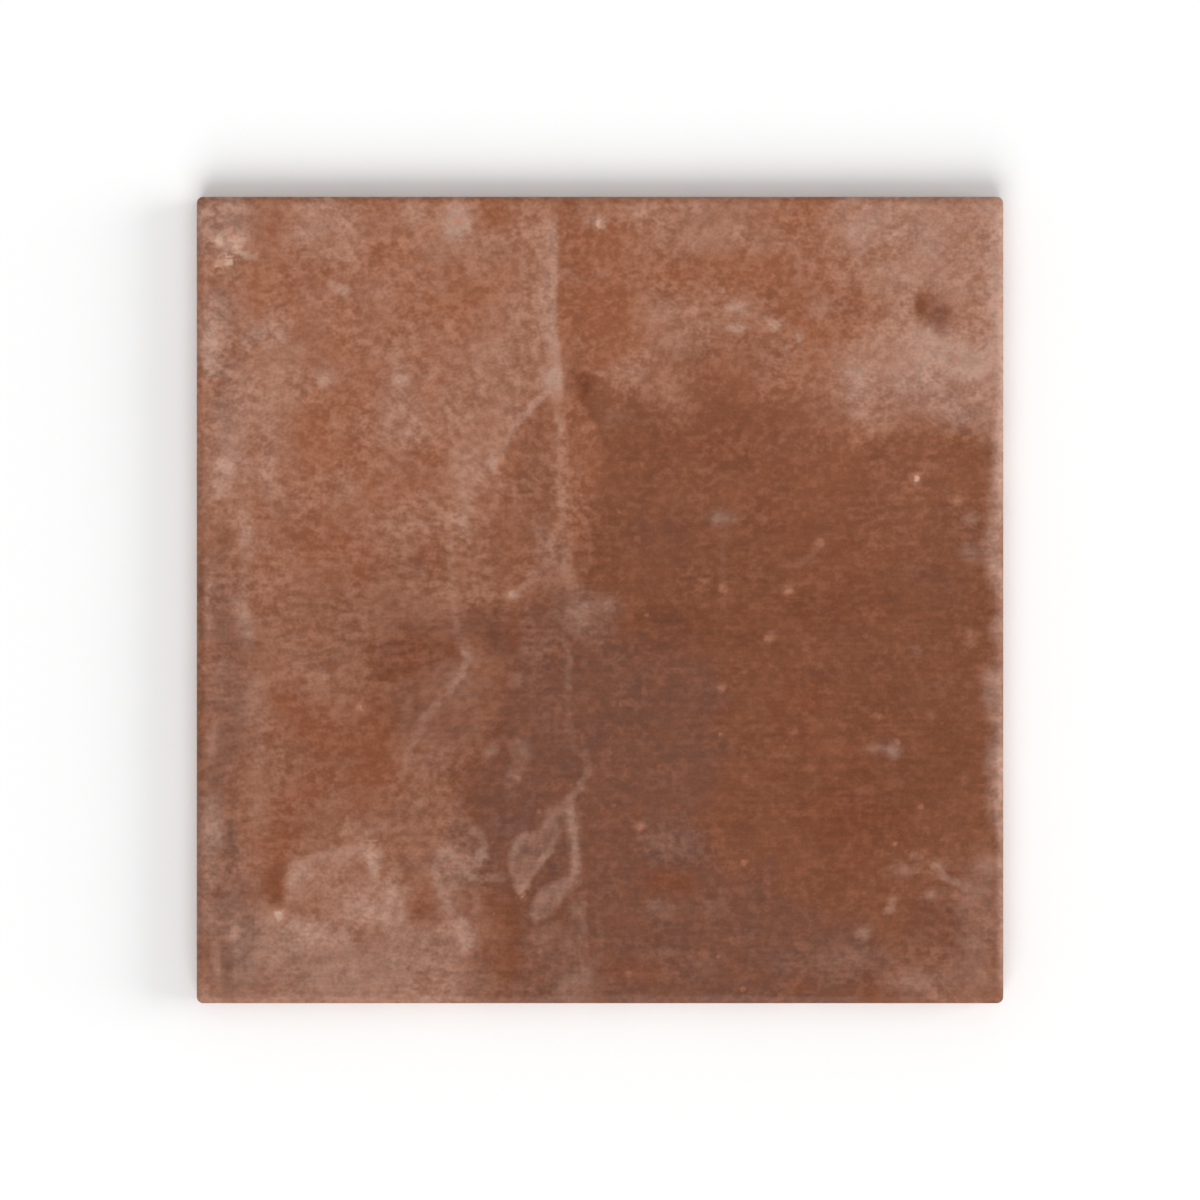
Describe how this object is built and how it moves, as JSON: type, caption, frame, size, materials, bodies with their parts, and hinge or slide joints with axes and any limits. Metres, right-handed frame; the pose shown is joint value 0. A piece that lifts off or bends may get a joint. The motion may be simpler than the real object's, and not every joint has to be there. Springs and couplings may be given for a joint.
{
  "type": "porcelain tile",
  "caption": "Square terracotta-look porcelain floor tile with a matt mottled face, an uneven eased edge, straight pressed sides and a ribbed back.",
  "frame": {"origin": "middle of the bedding plane that the back ribs rest on", "axes": "+Z is the outward normal of the face, X and Y run along the sides"},
  "size_m": [0.2, 0.2, 0.009],
  "materials": {
    "terracotta_porcelain": "matte"
  },
  "bodies": {
    "root": {"tile": "terracotta_porcelain"}
  },
  "joints": []
}
